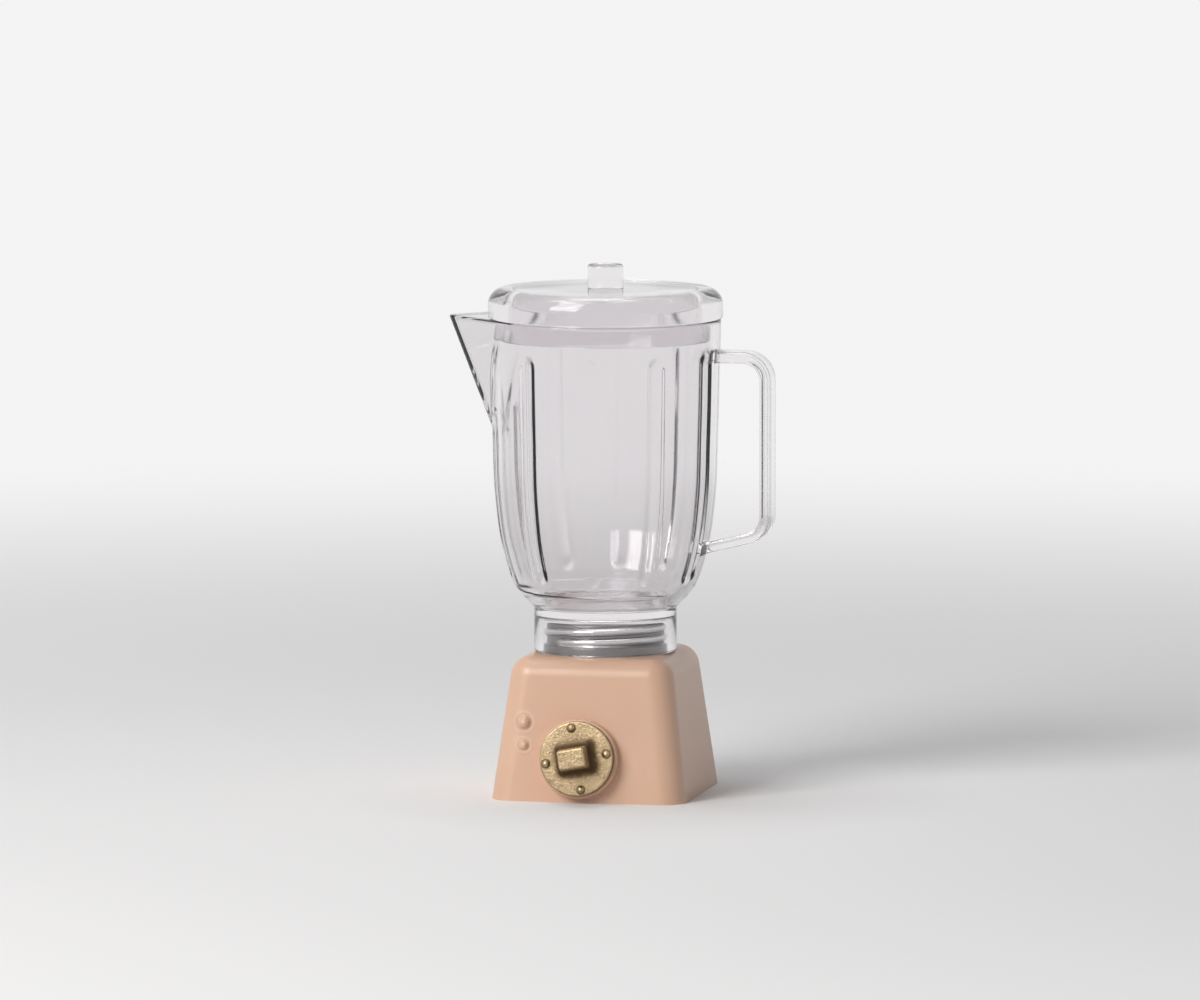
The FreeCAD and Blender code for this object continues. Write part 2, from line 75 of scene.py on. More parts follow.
# Jug
COLLAR_RADIUS = 9.87
COLLAR_BORE = 8.65
COLLAR_CEILING_Z = 24.8
NECK_Z = 25.9
FLOOR_Z = 26.3
RIM_Z = 65.9
JUG_WALL = 1.3
BELLY_RADIUS = 15.65
RIM_RADIUS = 16.0
BOWL_OUTLINE = [(10.02, 25.9), (12.25, 28.4), (14.1, 33.5), (15.3, 41.3), (15.65, 49.9), (16.0, 65.9)]
RIM_ROUND = 0.3
FLUTE_COUNT = 10
FLUTE_PHASE = math.radians(21.0)
FLUTE_RADIUS = 1.34
FLUTE_DEPTH = 0.45
FLUTE_SOFTNESS = 0.34
FLUTE_FOOT_Z = 31.1
FLUTE_TOP_Z = 60.0
SPOUT_FLUTE_TOP_Z = 51.9
SPOUT_REACH = 22.1
SPOUT_NOSE_RADIUS = 1.9
SPOUT_HEIGHT = 16.4
SPOUT_BLEND = 0.35
# Small rounds and steps of the collar and the neck
BORE_ROUND = 0.3
BORE_CHAMFER = 0.15
FOOT_ROUND = 0.2
NECK_CREASE = 0.12
NECK_STEP = 0.03
NECK_FLARE = 0.04
# The neck's own rows, which stay round: flutes and spout are drawn out of the rows over them
NECK_BAND = 2.5
NECK_ROWS = 10
SHAPED_FROM_Z = 28.3
# The inner wall's rows start this far over its foot
INNER_FOOT_GAP = 0.1
CURVE_STEPS = 16
# How much closer together the jug's columns lie at the spout than elsewhere
SPOUT_CROWDING = 0.42
JUG_COLUMNS = 440
BOWL_ROWS = 76

# Socket, with its thread
SOCKET_RADIUS = 8.05
SOCKET_TOP_Z = 24.2
SOCKET_FLANGE_Z = 20.95
SOCKET_EDGE = 0.3
SOCKET_BORE = 6.8
SOCKET_CEILING_Z = 23.0
SOCKET_PILLAR = 2.2
SOCKET_HOLE = 0.93
SOCKET_HOLE_TOP_Z = 22.13
THREAD_DEPTH = 0.45
THREAD_PITCH = 1.46
THREAD_TURNS = 1.4
THREAD_WIDTH = 1.15
THREAD_START_Z = 21.47
THREAD_START_ANGLE = math.radians(225.0)
# The share of a turn over which the ridge rises at its ends, and how full its section is
THREAD_RUN_IN = 0.05
THREAD_FULLNESS = 0.8
# The thread moves only points on the wall itself, clear of the flange
WALL_TOLERANCE = 0.05
THREAD_FLOOR_Z = 21.15
# The flange's soft edge, how far in and how high its top ends beside that edge, and its foot's bevel
FLANGE_ROUND = 0.1
FLANGE_EDGE = 0.12
FLANGE_STEP = 0.02
FLANGE_BEVEL = 0.05
SOCKET_COLUMNS = 240
SOCKET_ROWS = 64

# Handle
HANDLE_WIDTH = 5.0
HANDLE_THICKNESS = 1.5
HANDLE_REACH = 23.6
HANDLE_ARM_Z = 60.8
HANDLE_FOOT = (13.0, 34.0)
HANDLE_FOOT_RISE = 2.4
HANDLE_BEND = 3.2
HANDLE_ROUND = 0.45
# How much the handle's ends widen where they join the bowl, and stand off it
HANDLE_FLARE = 1.12
HANDLE_STANDOFF = 0.03
HANDLE_CORNER_STEPS = 4
HANDLE_ARM_STEPS = 4
HANDLE_BEND_STEPS = 14
HANDLE_GRIP_STEPS = 6
HANDLE_KNEE_STEPS = 12

# Lid and its knob
LID_RADIUS = 16.25
LID_TOP_Z = 70.0
LID_SHOULDER = 2.3
LID_INNER_SHOULDER = 1.0
LID_WALL = 1.2
LID_EDGE = 0.2
SKIRT_RADIUS = 14.45
SKIRT_WALL = 1.1
SKIRT_DEPTH = 3.0
KNOB_RADIUS = 2.47
KNOB_HEIGHT = 3.3
KNOB_EDGE = 0.4
KNOB_FOOT = 0.1
SPIGOT_RADIUS = 1.5
SPIGOT_GAP = 0.02
SKIRT_CREASE = 0.15
# A ring of points half way out on the lid's flat top and ceiling
LID_RING = 7.0
LID_COLUMNS = 192
KNOB_COLUMNS = 96

# Meshes: how near points are joined, and the angle over which an edge stays sharp
TURN_MERGE = 0.002
PIECE_MERGE = 0.004
COPY_MERGE = 0.0005
PIECE_SHARP_ANGLE = 35.0
COPY_SHARP_ANGLE = 28.0
COPY_NORMAL_WEIGHT = 60

# Studio, in metres and watts
STAGE_SIZE = 3.0
STAGE_COLOUR = (0.86, 0.86, 0.86, 1.0)
STAGE_FADE = (0.10, 0.45)
BACKDROP_COLOUR = (0.90, 0.90, 0.90, 1.0)
LAMP_TARGET = (0.0, 0.0, 0.035)
KEY_PLACE = (-0.34, -0.55, 0.42)
KEY_SIZE = (0.36, 0.36)
KEY_POWER = 4.1
KEY_COLOUR = (1.0, 0.98, 0.96)
TOP_PLACE = (-0.08, 0.06, 0.60)
TOP_SIZE = (0.40, 0.30)
TOP_POWER = 1.3
WORLD_COLOUR = (0.50, 0.50, 0.52, 1.0)
WORLD_STRENGTH = 0.32

# Camera: the photograph's angle, from far away with a long lens
CAMERA_AZIMUTH = math.radians(12.0)
CAMERA_ELEVATION = math.radians(6.2)
CAMERA_DISTANCE = 1.66
CAMERA_CLIP = (0.05, 20.0)
FOCAL_PIXELS = 12000.0
FRAME_WIDTH = 1200.0
SENSOR = 36.0
AIM_ACROSS = -0.76
AIM_HEIGHT = 40.5

# Colours of the materials, and the plastic's refraction
CORAL_DEEP = (0.655, 0.412, 0.283)
CORAL_PALE = (0.685, 0.437, 0.303)
CORAL_SPECK = (0.55, 0.33, 0.22)
BUTTON_FOOT_SHADE_COLOUR = (0.56, 0.32, 0.20)
BUTTON_RING_HIGHLIGHT_COLOUR = (0.76, 0.56, 0.44)
MOULDED_DEEP = (0.60, 0.34, 0.235)
MOULDED_PALE = (0.64, 0.365, 0.255)
GOLD_DEEP = (0.37, 0.272, 0.155)
GOLD_PALE = (0.455, 0.34, 0.205)
GOLD_GLINT = (0.80, 0.68, 0.48)
GOLD_PIT = (0.15, 0.095, 0.04)
PATINA_AND_SHADE_COLOUR = (0.088, 0.050, 0.019)
SHADED_DULL_DEEP = (0.22, 0.215, 0.21)
SHADED_DULL_PALE = (0.30, 0.295, 0.29)
CREST_HIGHLIGHT_DEEP = (0.66, 0.665, 0.67)
CREST_HIGHLIGHT_PALE = (0.80, 0.805, 0.81)
STEEL_DEEP = (0.44, 0.44, 0.45)
STEEL_PALE = (0.60, 0.60, 0.61)
CLEAR_DEEP = (0.875, 0.855, 0.87)
CLEAR_PALE = (0.895, 0.88, 0.89)
CLEAR_SPECK = (0.97, 0.97, 0.97)
CLEAR_REFRACTION = 1.42

# Painted light round the buttons, a painted highlight on the raised ring and painted shade at each foot:
# where it starts and ends in button radii, the Y over which it fades out behind the front wall, and how
# strongly it shows
BUTTON_RING_START = (1.15, 1.55)
BUTTON_RING_END = (1.6, 2.2)
BUTTON_FOOT_SHADE_START = (0.9, 1.15)
BUTTON_FOOT_SHADE_END = (1.2, 1.5)
BUTTON_PAINTED_LIGHT_Y = (-9.0, -8.0)
BUTTON_PAINTED_LIGHT_STRENGTH = 0.35

# Patina on the dial, and painted shade round the grip's foot: where they fade out, and how strongly they
# show
GRIP_PATINA_AND_SHADE_REACH = (0.1, 2.0)
GRIP_PATINA_AND_SHADE_HEIGHT = (3.4, 5.4)
GRIP_PATINA_AND_SHADE_STRENGTH = 0.97
HALO_RADIUS = RIVET_RADIUS * 1.02
HALO_WIDTH = (0.03, 0.22)
HALO_STRENGTH = 0.62
HEAD_EDGE = (RIVET_RADIUS * 0.95, RIVET_RADIUS * 1.1)
HEAD_STRENGTH = 0.30
EDGE_PATINA_RADIUS = (4.86, 5.12)
EDGE_PATINA_HEIGHT = (2.2, 2.42)
EDGE_PATINA_STRENGTH = 0.55

# The thread's crest, which gets a painted highlight: how far it stands out of the wall, and over the flange
CREST_HIGHLIGHT_RISE = (0.05, 0.36)
CREST_HIGHLIGHT_ABOVE_FLANGE = 0.15
# Turning marks are noise in which X and Y count for this much of Z
TURNING_STRETCH = 0.02


# Shader maths written as expressions
class Value:
    """A shader socket, so that maths on it reads as Python."""

    def __init__(self, nodes, socket):
        self.nodes = nodes
        self.socket = socket

    def maths(self, operation, *operands):
        """Adds a Math node."""
        return self.nodes.node("ShaderNodeMath", {"operation": operation}, *operands)

    def __add__(self, other):
        return self.maths("ADD", self, other)

    def __sub__(self, other):
        return self.maths("SUBTRACT", self, other)

    def __mul__(self, other):
        return self.maths("MULTIPLY", self, other)

    def __truediv__(self, other):
        return self.maths("DIVIDE", self, other)

    def __radd__(self, other):
        return self.maths("ADD", other, self)

    def __rsub__(self, other):
        return self.maths("SUBTRACT", other, self)

    def __rmul__(self, other):
        return self.maths("MULTIPLY", other, self)

    def __rtruediv__(self, other):
        return self.maths("DIVIDE", other, self)

    def __abs__(self):
        return self.maths("ABSOLUTE", self)

    def least(self, other):
        return self.maths("MINIMUM", self, other)

    def most(self, other):
        return self.maths("MAXIMUM", self, other)

    def root(self):
        return self.maths("SQRT", self)


def diagonal(first, second):
    """The diagonal of two lengths at right angles."""
    return (first * first + second * second).root()


class Nodes:
    """A node tree being put together."""

    def __init__(self, tree):
        self.tree = tree

    def node(self, kind, settings, *values, output=0, **named):
        """Adds a node, with its settings first and then the values or links of its sockets."""
        made = self.tree.nodes.new(kind)
        for key, setting in settings.items():
            setattr(made, key, setting)
        for socket, value in zip(made.inputs, values):
            self.feed(socket, value)
        for key, value in named.items():
            self.feed(made.inputs[key], value)
        return Value(self, made.outputs[output])

    def feed(self, socket, value):
        """Links a socket or sets its value, and leaves it as it is for None."""
        if isinstance(value, Value):
            self.tree.links.new(value.socket, socket)
        elif value is not None:
            socket.default_value = value

    def seen(self):
        """1 for rays from the camera, off a gloss or through the plastic, and 0 for the others."""
        camera, glossy, through = [self.node("ShaderNodeLightPath", {}, output=f"Is {kind} Ray")
                                   for kind in ("Camera", "Glossy", "Transmission")]
        return camera.most(glossy).most(through)

    def blend(self, share, first, second):
        """A surface or a background between two others."""
        return self.node("ShaderNodeMixShader", {}, share, first, second)


class Finish(Nodes):
    """A material being put together."""

    def __init__(self, name):
        self.material = bpy.data.materials.new(name)
        self.material.use_nodes = True
        super().__init__(self.material.node_tree)
        self.shader = self.tree.nodes["Principled BSDF"]
        self.objects = self.node("ShaderNodeTexCoord", {}, output="Object")

    def set(self, **values):
        """Sets or links sockets of the shader, named with underscores for spaces."""
        for name, value in values.items():
            self.feed(self.shader.inputs[name.replace("_", " ")], value)

    def noise(self, scale, detail, roughness=0.5, vector=None):
        """Noise with about scale blotches to the metre."""
        return self.node("ShaderNodeTexNoise", {}, Vector=vector or self.objects, Scale=scale, Detail=detail,
                         Roughness=roughness)

    def specks(self, scale, size):
        """1 in small specks and 0 between them."""
        cells = self.node("ShaderNodeTexVoronoi", {}, Vector=self.objects, Scale=scale)
        return self.fade(cells, 0.0, size)

    def ramp(self, value, low, high, start=0.0, end=1.0):
        """A smooth step from start to end while value goes from low to high."""
        settings = {"interpolation_type": "SMOOTHSTEP"}
        return self.node("ShaderNodeMapRange", settings, value, low, high, start, end)

    def fade(self, value, low, high, strength=1.0):
        """A smooth step down from strength to 0."""
        return self.ramp(value, low, high, strength, 0.0)

    def mix(self, share, first, second):
        """A colour between two colours, which go into the node's seventh and eighth sockets."""
        colours = [colour if isinstance(colour, Value) else (*colour, 1.0) for colour in (first, second)]
        return self.node("ShaderNodeMix", {"data_type": "RGBA"}, share, *[None] * 5, *colours, output=2)

    def split(self, vector):
        """The three parts of a vector."""
        first = self.node("ShaderNodeSeparateXYZ", {}, vector)
        return [Value(self, socket) for socket in first.socket.node.outputs]

    def bump(self, height, distance, strength=1.0):
        """Bends the normal by a height from 0 to 1 that stands for a distance in millimetres."""
        normal = self.node("ShaderNodeBump", {}, Strength=strength, Distance=distance * MM, Height=height)
        self.set(Normal=normal)


def coral_paint():
    """Satin sprayed paint: a soft mottle, a fine orange peel, a few dust specks, and a painted highlight and
    painted shade round each button.
    """
    finish = Finish("coral_paint")
    mottle = finish.noise(70.0, 3.0)
    peel = finish.noise(1500.0, 2.0)
    speck = finish.specks(420.0, 0.06)
    colour = finish.mix(finish.ramp(mottle, 0.35, 0.65), CORAL_DEEP, CORAL_PALE)
    # A low bumped ring round each button, with a painted highlight on the ring and painted shade at its foot
    x, y, z = finish.split(finish.objects)
    front = finish.fade(y, *[edge * MM for edge in BUTTON_PAINTED_LIGHT_Y])
    rings = 0.0
    for height, radius in BUTTONS:
        across = (x - BUTTON_X * MM) / MM
        up = (z - height * MM) / (MM * math.cos(WALL_LEAN))
        away = diagonal(across, up) / radius
        # ring: the raised ring, bumped and given a painted highlight; foot: painted shade at the button's
        # foot
        ring = finish.ramp(away, *BUTTON_RING_START) * finish.fade(away, *BUTTON_RING_END) * front
        foot = finish.ramp(away, *BUTTON_FOOT_SHADE_START) * finish.fade(away, *BUTTON_FOOT_SHADE_END) * front
        rings = rings + ring
        # Painted shade at the foot, then a painted highlight on the ring
        colour = finish.mix(foot * BUTTON_PAINTED_LIGHT_STRENGTH, colour, BUTTON_FOOT_SHADE_COLOUR)
        colour = finish.mix(ring * BUTTON_PAINTED_LIGHT_STRENGTH, colour, BUTTON_RING_HIGHLIGHT_COLOUR)
    finish.set(Base_Color=finish.mix(speck * 0.10, colour, CORAL_SPECK))
    finish.set(Roughness=0.38 + mottle * 0.08, Coat_Weight=0.35, Coat_Roughness=0.28)
    finish.bump(peel * 0.1 + rings * 0.5, distance=0.12, strength=0.5)
    return finish.material


def coral_plastic():
    """Matt moulded plastic with a fine grain."""
    finish = Finish("coral_plastic")
    grain = finish.noise(2600.0, 2.0)
    mottle = finish.noise(60.0, 2.0)
    finish.set(Base_Color=finish.mix(mottle, MOULDED_DEEP, MOULDED_PALE))
    finish.set(Roughness=0.5 + grain * 0.12)
    finish.bump(grain, distance=0.02)
    return finish.material


def dial_frame(finish):
    """The dial's own coordinates in millimetres: across, up and out."""
    facing = Matrix.Rotation(math.pi / 2 - WALL_LEAN, 3, "X") @ Matrix.Rotation(DIAL_TURN, 3, "Z")
    inverse = facing.inverted()
    turn = inverse.to_euler("XYZ")
    shift = -(inverse @ DIAL_PLACE)
    scaled = finish.node("ShaderNodeVectorMath", {"operation": "SCALE"}, finish.objects, Scale=1.0 / MM)
    moved = finish.node("ShaderNodeMapping", {"vector_type": "POINT"}, scaled, Location=shift, Rotation=turn)
    return finish.split(moved)


def dial_patina_and_shade(finish, grain):
    """How dark the dial is: patina and painted shade round the grip's foot, patina round and on the rivets,
    and along the plate's edge.
    """
    across, up, out = dial_frame(finish)
    # How far a point lies outside the grip's foot
    side = (abs(across) - (GRIP_HALF_WIDTH + GRIP_FLARE * 0.5)).most(0.0)
    rise = (abs(up) - (GRIP_HALF_DEPTH + GRIP_FLARE * 0.5)).most(0.0)
    ragged = diagonal(side, rise) + (grain - 0.5) * 0.5
    # Patina with painted shade round the grip's foot
    grip = finish.fade(ragged, *GRIP_PATINA_AND_SHADE_REACH) * finish.fade(out, *GRIP_PATINA_AND_SHADE_HEIGHT)
    # The rivets lie on the dial's two middle lines, so the nearer of two distances serves all four
    beside, above = abs(across) - RIVET_CIRCLE, abs(up) - RIVET_CIRCLE
    from_rivet = (beside * beside + up * up).least(above * above + across * across).root()
    halo = finish.fade(abs(from_rivet - HALO_RADIUS), *HALO_WIDTH, HALO_STRENGTH)
    head = finish.fade(from_rivet, *HEAD_EDGE, HEAD_STRENGTH)
    edge = finish.ramp(diagonal(across, up), *EDGE_PATINA_RADIUS, 0.0, EDGE_PATINA_STRENGTH)
    edge = edge * finish.fade(out, *EDGE_PATINA_HEIGHT)
    return (grip * GRIP_PATINA_AND_SHADE_STRENGTH).most(halo).most(edge).most(head)


def antique_gold():
    """Grainy gold, worn bright on its faces, with dark patina and painted shade round the grip's foot, and
    dark patina round the rivets.
    """
    finish = Finish("antique_gold")
    grain = finish.noise(3000.0, 3.0, 0.7)
    cloud = finish.noise(900.0, 3.0, 0.6)
    blotch = finish.noise(330.0, 3.0)
    # patina holds the patina and the painted shade round the grip's foot
    patina = finish.ramp(dial_patina_and_shade(finish, grain) + (cloud - 0.5) * 0.55, 0.12, 0.92)
    gold = finish.mix(finish.ramp(blotch, 0.3, 0.7), GOLD_DEEP, GOLD_PALE)
    gold = finish.mix(finish.ramp(grain, 0.58, 0.72, 0.0, 0.75), gold, GOLD_GLINT)
    gold = finish.mix(finish.fade(grain, 0.30, 0.44, 0.8), gold, GOLD_PIT)
    finish.set(Base_Color=finish.mix(patina, gold, PATINA_AND_SHADE_COLOUR))
    finish.set(Metallic=0.92 - patina * 0.3, Roughness=0.35 + patina * 0.22 + (grain - 0.5) * 0.25)
    finish.bump(grain * 0.7 + cloud * 0.5, distance=0.09, strength=0.9)
    return finish.material


def silver_thread():
    """Turned metal: a painted highlight on the thread's crest, and painted shade between its turns and on
    the flange.
    """
    finish = Finish("silver_thread")
    x, y, z = finish.split(finish.objects)
    stretched = finish.node("ShaderNodeCombineXYZ", {}, x * TURNING_STRETCH, y * TURNING_STRETCH, z)
    rings = finish.noise(9000.0, 2.0, vector=stretched)
    cloud = finish.noise(260.0, 2.0)
    # crest: a painted highlight on the thread's crest; dull: painted shade between its turns and on the
    # flange
    crest = finish.ramp(diagonal(x, y), *[(SOCKET_RADIUS + rise) * MM for rise in CREST_HIGHLIGHT_RISE])
    crest = crest * finish.ramp(z, SOCKET_FLANGE_Z * MM, (SOCKET_FLANGE_Z + CREST_HIGHLIGHT_ABOVE_FLANGE) * MM)
    dull = finish.mix(cloud, SHADED_DULL_DEEP, SHADED_DULL_PALE)
    bright = finish.mix(cloud, CREST_HIGHLIGHT_DEEP, CREST_HIGHLIGHT_PALE)
    finish.set(Base_Color=finish.mix(crest, dull, bright))
    finish.set(Metallic=1.0, Roughness=0.36 - crest * 0.18 + rings * 0.08)
    finish.bump(rings, distance=0.004, strength=0.5)
    return finish.material


def plain_steel():
    """Brushed steel, for the screws, the spring washer and the clip."""
    finish = Finish("steel")
    brushed = finish.noise(3200.0, 2.0)
    finish.set(Base_Color=finish.mix(brushed, STEEL_DEEP, STEEL_PALE))
    finish.set(Metallic=1.0, Roughness=0.30 + brushed * 0.15)
    finish.bump(brushed, distance=0.008, strength=0.5)
    return finish.material


def clear_plastic():
    """Clear moulded plastic with a faint smoky tint, flow waves and a few dust specks."""
    finish = Finish("clear_plastic")
    waves = finish.noise(90.0, 2.0)
    speck = finish.specks(300.0, 0.045)
    tint = finish.mix(waves, CLEAR_DEEP, CLEAR_PALE)
    finish.set(Base_Color=finish.mix(speck * 0.5, tint, CLEAR_SPECK))
    finish.set(Roughness=0.035 + waves * 0.03 + speck * 0.25)
    finish.set(IOR=CLEAR_REFRACTION, Transmission_Weight=1.0)
    finish.bump(waves, distance=0.03, strength=0.35)
    return finish.material


# Shapes
def lay(points, radius, centre, start, end, steps):
    """Adds points of an arc to an outline, from one angle in degrees to another."""
    for step in range(steps + 1):
        angle = math.radians(start + (end - start) * step / steps)
        points.append((centre[0] + radius * math.cos(angle), centre[1] + radius * math.sin(angle)))


def finished(mesh_data, name, material, body, nodes, sharp_angle=PIECE_SHARP_ANGLE):
    """Turns a bmesh into a smooth-shaded piece that rides on a body and stands for CAD nodes."""
    bmesh.ops.remove_doubles(mesh_data, verts=mesh_data.verts, dist=PIECE_MERGE * MM)
    bmesh.ops.recalc_face_normals(mesh_data, faces=mesh_data.faces)
    for face in mesh_data.faces:
        face.smooth = True
    limit = math.radians(sharp_angle)
    for edge in mesh_data.edges:
        if len(edge.link_faces) == 2 and edge.calc_face_angle(0.0) > limit:
            edge.smooth = False
    mesh = bpy.data.meshes.new(name)
    mesh_data.to_mesh(mesh)
    mesh_data.free()
    mesh.materials.append(material)
    piece = bpy.data.objects.new(name, mesh)
    bpy.context.scene.collection.objects.link(piece)
    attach(piece, body)
    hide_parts(*nodes)
    return piece


def turned(outline, columns):
    """A bmesh turned about Z from an outline of (radius, height)."""
    made = bmesh.new()
    corners = [made.verts.new((radius * MM, 0.0, height * MM)) for radius, height in outline]
    edges = [made.edges.new(pair) for pair in zip(corners, corners[1:])]
    bmesh.ops.spin(made, geom=corners + edges, cent=(0, 0, 0), axis=(0, 0, 1), angle=2 * math.pi,
                   steps=columns, use_merge=True)
    bmesh.ops.remove_doubles(made, verts=made.verts, dist=TURN_MERGE * MM)
    return made


def dense_curve(points, steps):
    """Points along a smooth curve through the given ones, with steps to each stretch."""
    ends = [tuple(2 * a - b for a, b in zip(points[0], points[1]))]
    ends += points + [tuple(2 * a - b for a, b in zip(points[-1], points[-2]))]
    dense = []
    for before, start, end, after in zip(ends, ends[1:], ends[2:], ends[3:]):
        pairs = ((before, start), (start, end), (end, after))
        lead, span, trail = [math.dist(*pair) for pair in pairs]
        for step in range(steps):
            t = step / steps
            point = []
            for a, b, c, d in zip(before, start, end, after):
                leaving = (c - b) + span * ((b - a) / lead - (c - a) / (lead + span))
                arriving = (c - b) + span * ((d - c) / trail - (d - b) / (span + trail))
                point.append((2 * t ** 3 - 3 * t ** 2 + 1) * b + (t ** 3 - 2 * t ** 2 + t) * leaving
                             + (3 * t ** 2 - 2 * t ** 3) * c + (t ** 3 - t ** 2) * arriving)
            dense.append(tuple(point))
    return dense + [points[-1]]


def inset_curve(points, distance):
    """The curve moved sideways to its left, as a wall's inner face is."""
    moved = []
    for number, (x, z) in enumerate(points):
        (x0, z0), (x1, z1) = points[max(number - 1, 0)], points[min(number + 1, len(points) - 1)]
        length = math.hypot(x1 - x0, z1 - z0)
        moved.append((x - distance * (z1 - z0) / length, z + distance * (x1 - x0) / length))
    return moved


def radius_at(curve, z):
    """The radius of a rising curve at a height."""
    if z <= curve[0][1]:
        return curve[0][0]
    for (x0, z0), (x1, z1) in zip(curve, curve[1:]):
        if z <= z1:
            return x0 + (x1 - x0) * (z - z0) / (z1 - z0)
    return curve[-1][0]


def larger(first, second, blend):
    """The larger of two lengths, with a soft change over."""
    gap = max(blend - abs(first - second), 0.0) / blend
    return max(first, second) + gap * gap * blend * 0.25


def spout_radius(angle, z, inset):
    """How far the leaning V of the spout reaches at an angle from its nose, or 0 outside it."""
    if z < RIM_Z - SPOUT_HEIGHT:
        return 0.0
    shift = (SPOUT_REACH - BELLY_RADIUS) * (RIM_Z - z) / SPOUT_HEIGHT
    centre = SPOUT_REACH - SPOUT_NOSE_RADIUS
    sine = (RIM_RADIUS - SPOUT_NOSE_RADIUS) / centre
    cosine = math.sqrt(1 - sine * sine)
    nose, wall = SPOUT_NOSE_RADIUS - inset, RIM_RADIUS - inset
    angle = abs(angle)
    if angle < math.atan2(nose * cosine, centre - shift + nose * sine):
        reach = (centre - shift) * math.cos(angle)
        return reach + math.sqrt(nose ** 2 - ((centre - shift) * math.sin(angle)) ** 2)
    if angle < math.atan2(wall * cosine, wall * sine - shift):
        return (wall - shift * sine) / (sine * math.cos(angle) + cosine * math.sin(angle))
    return 0.0


def flute_depth(angle, z, radius, bar_radius, centre_out):
    """How deep the flutes cut at a place on a wall. Each is a bar with round ends, laid along the wall."""
    pitch = 2 * math.pi / FLUTE_COUNT
    number = round((angle - FLUTE_PHASE) / pitch)
    middle = FLUTE_PHASE + number * pitch
    aside = (angle - middle) * radius
    from_spout = abs((middle % (2 * math.pi)) - math.pi)
    top = SPOUT_FLUTE_TOP_Z if from_spout < pitch else FLUTE_TOP_Z
    along = max(FLUTE_FOOT_Z - z, 0.0, z - top)
    away = bar_radius ** 2 - aside ** 2 - along ** 2
    if away <= 0.0:
        return 0.0
    return max(math.sqrt(away) - centre_out, 0.0)


def soft(depth, edge):
    """A depth that starts gently and soon reaches its full value."""
    return depth * (1.0 - math.exp(-depth / edge))


def make_jug(material):
    """Collar, floor, bowl and spout: one turned wall, with the flutes and the spout drawn out of it."""
    outside = dense_curve(BOWL_OUTLINE, CURVE_STEPS)
    inside = inset_curve(outside, JUG_WALL)
    floor_radius = inside[0][0] - (inside[0][1] - FLOOR_Z)
    bore_corner = (COLLAR_BORE - BORE_ROUND, COLLAR_CEILING_Z - BORE_ROUND)
    foot_corner = (COLLAR_RADIUS - FOOT_ROUND, SEAT_Z + FOOT_ROUND)
    outline = [(0.0, COLLAR_CEILING_Z), (COLLAR_BORE * 0.5, COLLAR_CEILING_Z)]
    outline += [(COLLAR_BORE - BORE_ROUND, COLLAR_CEILING_Z)]
    lay(outline, BORE_ROUND, bore_corner, 75, 0, 4)
    outline += [(COLLAR_BORE, SEAT_Z + BORE_CHAMFER), (COLLAR_BORE + BORE_CHAMFER, SEAT_Z)]
    outline += [(COLLAR_RADIUS - FOOT_ROUND, SEAT_Z)]
    lay(outline, FOOT_ROUND, foot_corner, -60, 0, 3)
    outline += [(COLLAR_RADIUS, NECK_Z - NECK_CREASE), (COLLAR_RADIUS + NECK_FLARE, NECK_Z - NECK_STEP)]
    step = (RIM_Z - RIM_ROUND - NECK_Z - NECK_BAND) / BOWL_ROWS
    heights = [NECK_Z + NECK_BAND * row / NECK_ROWS for row in range(NECK_ROWS)]
    heights += [NECK_Z + NECK_BAND + step * row for row in range(BOWL_ROWS + 1)]
    outline += [(radius_at(outside, z), z) for z in heights]
    lay(outline, RIM_ROUND, (RIM_RADIUS - RIM_ROUND, RIM_Z - RIM_ROUND), 20, 90, 4)
    rim_inside = radius_at(inside, RIM_Z)
    lay(outline, RIM_ROUND, (rim_inside + RIM_ROUND, RIM_Z - RIM_ROUND), 90, 160, 4)
    outline += [(radius_at(inside, z), z) for z in reversed(heights) if z > inside[0][1] + INNER_FOOT_GAP]
    outline += [inside[0], (floor_radius, FLOOR_Z), (floor_radius * 0.5, FLOOR_Z), (0.0, FLOOR_Z)]
    jug = turned(outline, JUG_COLUMNS)
    groove_out = FLUTE_RADIUS - FLUTE_DEPTH
    bulge_radius, bulge_out = FLUTE_RADIUS + JUG_WALL, groove_out + JUG_WALL
    for vertex in jug.verts:
        x, y, z = vertex.co / MM
        if z < SHAPED_FROM_Z:
            continue
        radius = math.hypot(x, y)
        angle = math.atan2(y, x)
        outer, inner = radius_at(outside, z), radius_at(inside, z)
        share = (radius - inner) / (outer - inner)
        # Columns crowd towards the spout, where the nose is sharp
        angle += SPOUT_CROWDING * math.sin(angle)
        from_nose = math.atan2(-math.sin(angle), -math.cos(angle))
        cut = soft(flute_depth(angle, z, outer, FLUTE_RADIUS, groove_out), FLUTE_SOFTNESS)
        bulge = soft(flute_depth(angle, z, outer, bulge_radius, bulge_out), FLUTE_SOFTNESS)
        new_outer = larger(outer, spout_radius(from_nose, z, 0.0), SPOUT_BLEND) - cut
        new_inner = larger(inner, spout_radius(from_nose, z, JUG_WALL), SPOUT_BLEND) - bulge
        new_radius = new_inner + (new_outer - new_inner) * share
        outward = Vector((math.cos(angle), math.sin(angle), 0.0))
        vertex.co = outward * new_radius * MM + Vector((0, 0, z * MM))
    finished(jug, "jug_shell", material, "jug", ["jug"])


